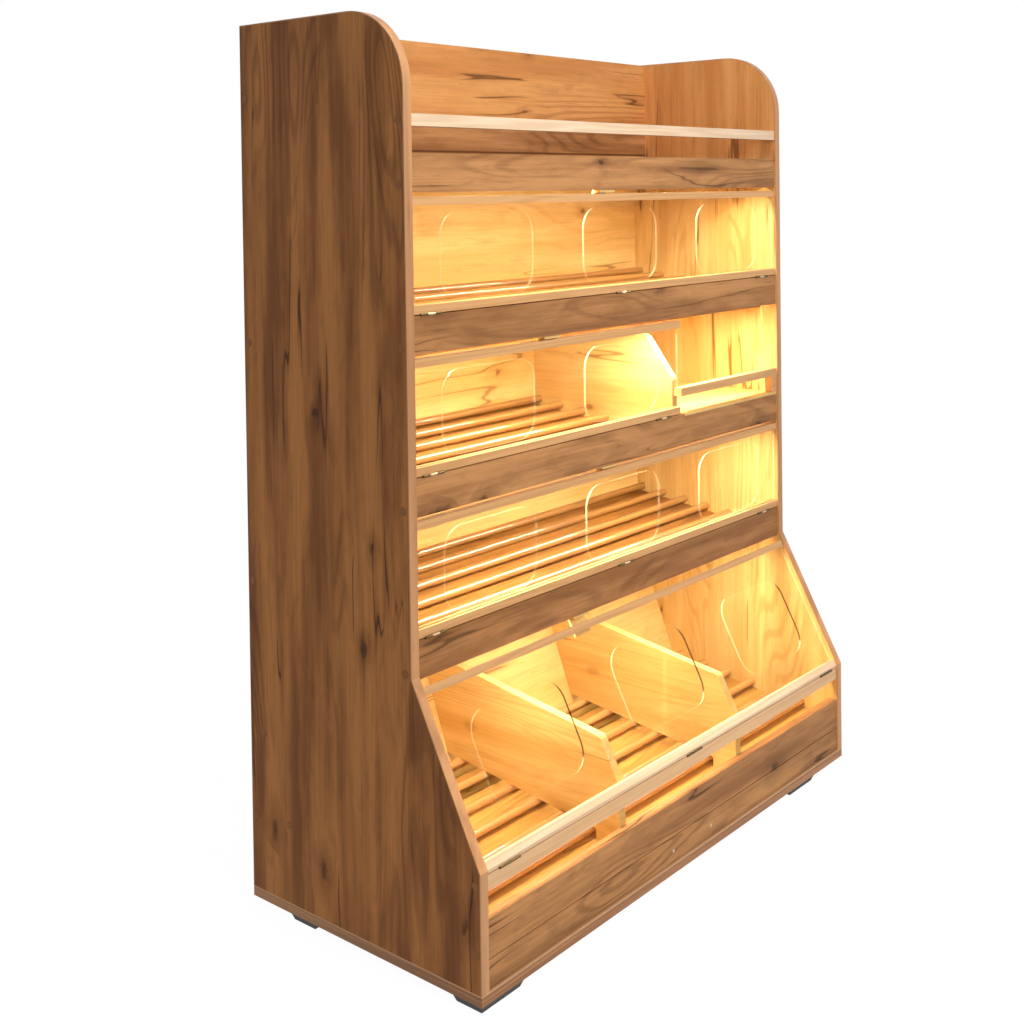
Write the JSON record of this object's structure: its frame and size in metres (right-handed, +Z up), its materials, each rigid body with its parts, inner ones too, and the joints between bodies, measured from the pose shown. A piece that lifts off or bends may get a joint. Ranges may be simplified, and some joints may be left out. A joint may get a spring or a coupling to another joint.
{
  "type": "bread display shelf",
  "caption": "Tall wooden bread display shelf with sloped rod shelves behind hinged clear flaps, a slanted bread bin below and a crumb drawer.",
  "frame": {"origin": "on the floor, under the middle of the cabinet", "axes": "+Z up, the front with the flaps faces -Y, +X across to the right seen from the front"},
  "size_m": [1.2008, 0.54, 1.556],
  "materials": {
    "side_wood": "laminate, vertical grain with cracks and knots, matt",
    "front_wood": "laminate, horizontal rustic grain, matt",
    "inner_wood": "laminate, warm brown, matt",
    "pale_wood": "planed and oiled",
    "edge_band": "wood print, matt",
    "clear_acrylic": "clear, polished",
    "bright_steel": "nickel plated",
    "aluminium": "anodised",
    "diffuser": "frosted, lit from inside",
    "black_plastic": "moulded, matt",
    "white_plastic": "moulded, matt",
    "brown_plastic": "moulded, matt"
  },
  "bodies": {
    "cabinet": {"back_panel": "inner_wood", "bin_back_board": "inner_wood", "bin_divider_left": "inner_wood", "bin_divider_right": "inner_wood", "bin_fixed_rail": "front_wood", "bin_floor_slats": "inner_wood", "bottom_board": "side_wood", "cable_gland": "black_plastic", "drawer_runners_cabinet": "bright_steel", "fascia_1": "front_wood", "fascia_2": "front_wood", "fascia_3": "front_wood", "fascia_4": "front_wood", "fascia_5": "front_wood", "feet": "black_plastic", "hinge_leaves_cabinet": "bright_steel", "joining_screws": "bright_steel", "level_2_divider": "inner_wood", "light_channels": "aluminium", "light_diffusers": "diffuser", "light_driver": "white_plastic", "magnetic_catches": "bright_steel", "open_shelf_deck": "inner_wood", "open_shelf_post": "pale_wood", "open_shelf_rail": "pale_wood", "rods_bin": "pale_wood", "rods_level_1": "pale_wood", "rods_level_2": "pale_wood", "rods_level_3": "pale_wood", "screw_caps": "brown_plastic", "shelf_board_1": "inner_wood", "shelf_board_2": "inner_wood", "shelf_board_3": "inner_wood", "side_band_left": "edge_band", "side_band_right": "edge_band", "side_panel_left": "side_wood", "side_panel_right": "side_wood", "top_back_panel": "inner_wood", "top_guard_rail": "pale_wood", "top_shelf_board": "inner_wood"},
    "flap_1": {"flap_1_top_rail": "pale_wood", "flap_1_bottom_rail": "pale_wood", "flap_1_pane": "clear_acrylic", "flap_1_hardware": "bright_steel"},
    "flap_2": {"flap_2_top_rail": "pale_wood", "flap_2_bottom_rail": "pale_wood", "flap_2_pane": "clear_acrylic", "flap_2_hardware": "bright_steel"},
    "flap_3": {"flap_3_top_rail": "pale_wood", "flap_3_bottom_rail": "pale_wood", "flap_3_pane": "clear_acrylic", "flap_3_hardware": "bright_steel"},
    "flap_bin": {"flap_bin_top_rail": "pale_wood", "flap_bin_bottom_rail": "pale_wood", "flap_bin_pane": "clear_acrylic", "flap_bin_hardware": "bright_steel"},
    "drawer": {"drawer_front": "front_wood", "drawer_walls": "inner_wood", "drawer_floor": "inner_wood", "drawer_runner_bars": "bright_steel"}
  },
  "joints": [
    {"name": "flap_1_hinge", "type": "hinge", "parent": "cabinet", "child": "flap_1", "pos_m": [0, -0.128, 1.063], "axis": [1, 0, 0], "range_deg": [0, 170]},
    {"name": "flap_2_hinge", "type": "hinge", "parent": "cabinet", "child": "flap_2", "pos_m": [-0.196, -0.128, 0.803], "axis": [1, 0, 0], "range_deg": [0, 170]},
    {"name": "flap_3_hinge", "type": "hinge", "parent": "cabinet", "child": "flap_3", "pos_m": [0, -0.128, 0.543], "axis": [1, 0, 0], "range_deg": [0, 155]},
    {"name": "flap_bin_hinge", "type": "hinge", "parent": "cabinet", "child": "flap_bin", "pos_m": [0, -0.268, 0.209], "axis": [1, 0, 0], "range_deg": [0, 115]},
    {"name": "drawer_slide", "type": "slide", "parent": "cabinet", "child": "drawer", "axis": [0, -1, 0], "range_m": [0, 0.3]}
  ]
}
